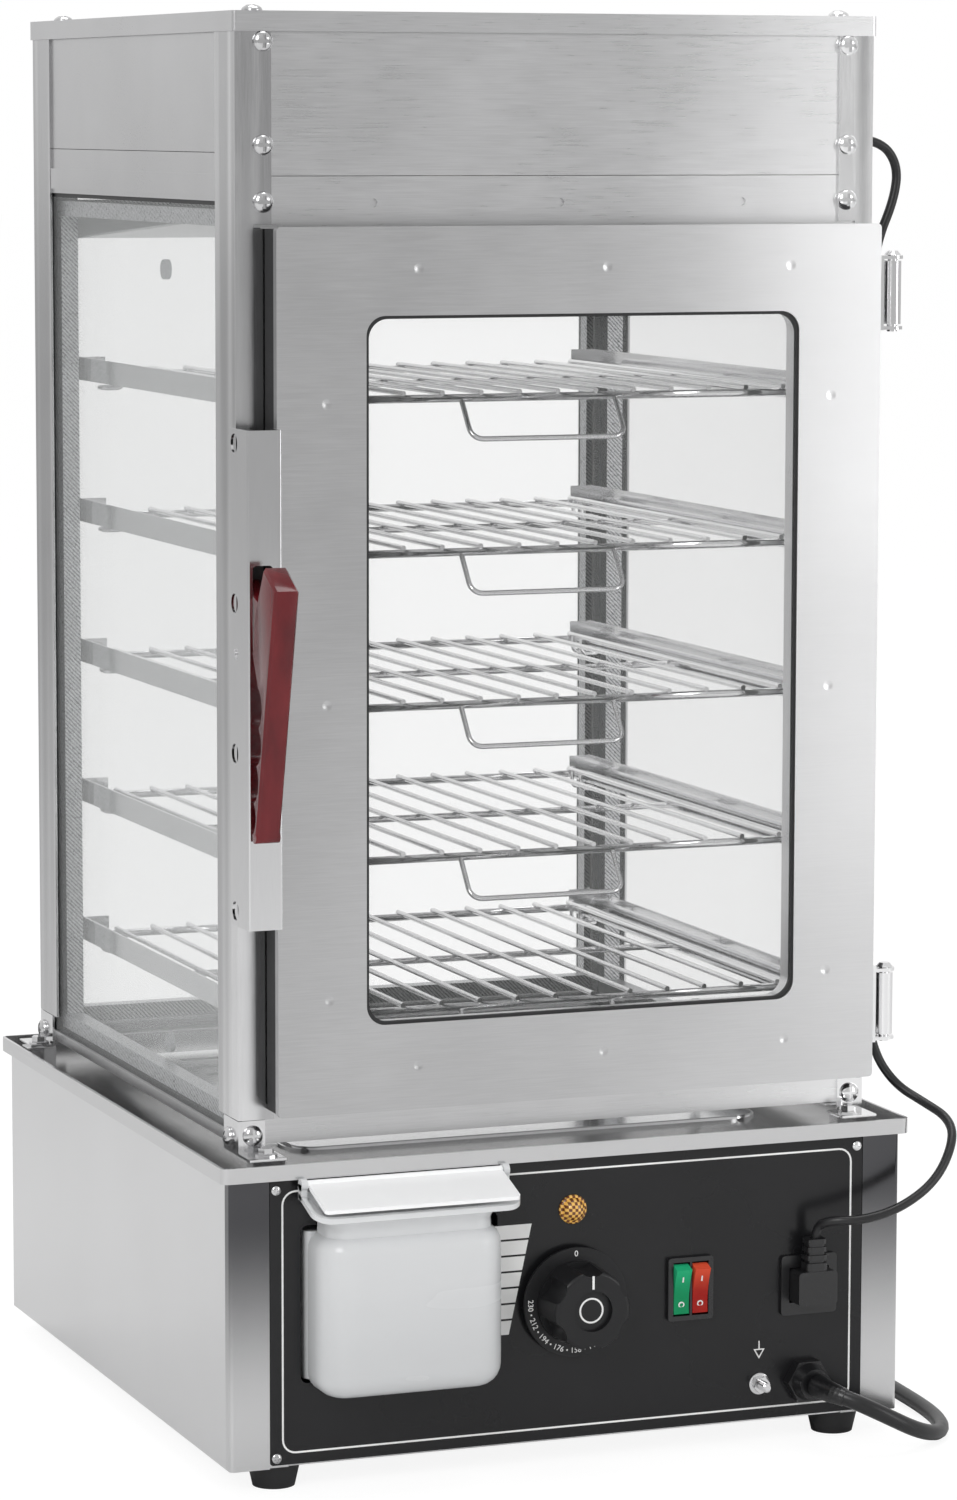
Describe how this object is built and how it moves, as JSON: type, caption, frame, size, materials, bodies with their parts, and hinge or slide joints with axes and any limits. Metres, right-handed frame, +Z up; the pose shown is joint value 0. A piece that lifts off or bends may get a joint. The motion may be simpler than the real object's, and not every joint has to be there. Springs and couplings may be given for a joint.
{
  "type": "bun steamer display cabinet",
  "caption": "Glazed counter-top warming cabinet with wire racks, a hinged door with a lever handle, and a heated water base with dial, switches and a water box.",
  "frame": {"origin": "on the floor, under the middle of the appliance without its cords", "axes": "+Z up, the door and the controls face -Y, +X to the right seen from the front"},
  "size_m": [0.3924, 0.5608, 0.7059],
  "materials": {
    "stainless_sheet": "brushed",
    "polished_steel": "polished",
    "chromed_wire": "bright",
    "screw_steel": "bright",
    "galvanised_plate": "dull",
    "element_steel": "dull",
    "aluminium_bar": "satin",
    "clear_glass": "clear",
    "lamp_glass": "frosted",
    "white_ceramic": "glazed",
    "black_rubber": "matt",
    "clear_plastic": "clear",
    "black_panel": "satin",
    "black_plastic": "matt",
    "milky_plastic": "satin",
    "clear_lid": "clear",
    "amber_lens": "clear",
    "green_plastic": "gloss",
    "red_plastic": "gloss",
    "crimson_bakelite": "gloss",
    "cord_sheath": "matt"
  },
  "bodies": {
    "cabinet": {"top_cap": "stainless_sheet", "front_posts": "stainless_sheet", "rear_posts": "stainless_sheet", "front_top_panel": "stainless_sheet", "front_top_rail": "stainless_sheet", "top_box_panels": "stainless_sheet", "upper_rails": "stainless_sheet", "lower_rails": "stainless_sheet", "door_frame": "stainless_sheet", "ceiling_plate": "stainless_sheet", "lamp_window": "clear_glass", "lamp_holder": "white_ceramic", "lamp_bulb": "lamp_glass", "left_glass": "clear_glass", "right_glass": "clear_glass", "rear_glass": "clear_glass", "glass_spacers": "aluminium_bar", "glass_seals": "black_rubber", "glass_buttons": "clear_plastic", "rack_runners": "polished_steel", "corner_brackets": "polished_steel", "frame_screws": "screw_steel", "corner_bolts": "screw_steel", "base_tray": "stainless_sheet", "steam_plate": "polished_steel", "base_shell": "stainless_sheet", "base_plate": "galvanised_plate", "feet": "black_rubber", "water_pan": "polished_steel", "heating_element": "element_steel", "control_panel": "black_panel", "water_box": "milky_plastic", "pilot_light": "amber_lens", "thermostat": "galvanised_plate", "switch_housing": "black_plastic", "light_socket": "black_plastic", "cord_glands": "black_plastic", "light_plug": "black_plastic", "light_cord": "cord_sheath", "power_cord": "cord_sheath", "power_cord_coil": "cord_sheath", "power_plug": "black_plastic", "hinge_cabinet_leaves": "polished_steel"},
    "door": {"door_skin": "stainless_sheet", "door_inner_frame": "stainless_sheet", "door_glass": "clear_glass", "door_gasket": "black_rubber", "window_seal": "black_rubber", "handle_bracket": "polished_steel", "hinge_door_leaves": "polished_steel"},
    "handle_lever": {"door_handle": "crimson_bakelite"},
    "rack_1": {"rack_1": "chromed_wire"},
    "rack_2": {"rack_2": "chromed_wire"},
    "rack_3": {"rack_3": "chromed_wire"},
    "rack_4": {"rack_4": "chromed_wire"},
    "rack_5": {"rack_5": "chromed_wire"},
    "dial": {"dial_knob": "black_plastic"},
    "power_switch": {"power_rocker": "green_plastic"},
    "light_switch": {"light_rocker": "red_plastic"},
    "water_lid": {"water_box_lid": "clear_lid"}
  },
  "joints": [
    {"name": "door_hinge", "type": "hinge", "parent": "cabinet", "child": "door", "pos_m": [0.1705, -0.158, 0.393], "axis": [0, 0, 1], "range_deg": [0, 170]},
    {"name": "handle_pivot", "type": "hinge", "parent": "door", "child": "handle_lever", "pos_m": [-0.1605, -0.1555, 0.403], "axis": [-1, 0, 0], "range_deg": [0, 14]},
    {"name": "rack_1_slide", "type": "slide", "parent": "cabinet", "child": "rack_1", "axis": [0, -1, 0], "range_m": [-0.003, 0.007]},
    {"name": "rack_2_slide", "type": "slide", "parent": "cabinet", "child": "rack_2", "axis": [0, -1, 0], "range_m": [-0.003, 0.007]},
    {"name": "rack_3_slide", "type": "slide", "parent": "cabinet", "child": "rack_3", "axis": [0, -1, 0], "range_m": [-0.003, 0.007]},
    {"name": "rack_4_slide", "type": "slide", "parent": "cabinet", "child": "rack_4", "axis": [0, -1, 0], "range_m": [-0.003, 0.007]},
    {"name": "rack_5_slide", "type": "slide", "parent": "cabinet", "child": "rack_5", "axis": [0, -1, 0], "range_m": [-0.003, 0.007]},
    {"name": "dial_turn", "type": "hinge", "parent": "cabinet", "child": "dial", "pos_m": [0, -0.182, 0.082], "axis": [0, 1, 0], "range_deg": [0, 270]},
    {"name": "power_rocker_tilt", "type": "hinge", "parent": "cabinet", "child": "power_switch", "pos_m": [0.057, -0.1655, 0.083], "axis": [-1, 0, 0], "range_deg": [0, 20]},
    {"name": "light_rocker_tilt", "type": "hinge", "parent": "cabinet", "child": "light_switch", "pos_m": [0.067, -0.1655, 0.083], "axis": [-1, 0, 0], "range_deg": [0, 20]},
    {"name": "water_lid_hinge", "type": "hinge", "parent": "cabinet", "child": "water_lid", "pos_m": [-0.089, -0.1725, 0.1505], "axis": [-1, 0, 0], "range_deg": [0, 100]}
  ]
}
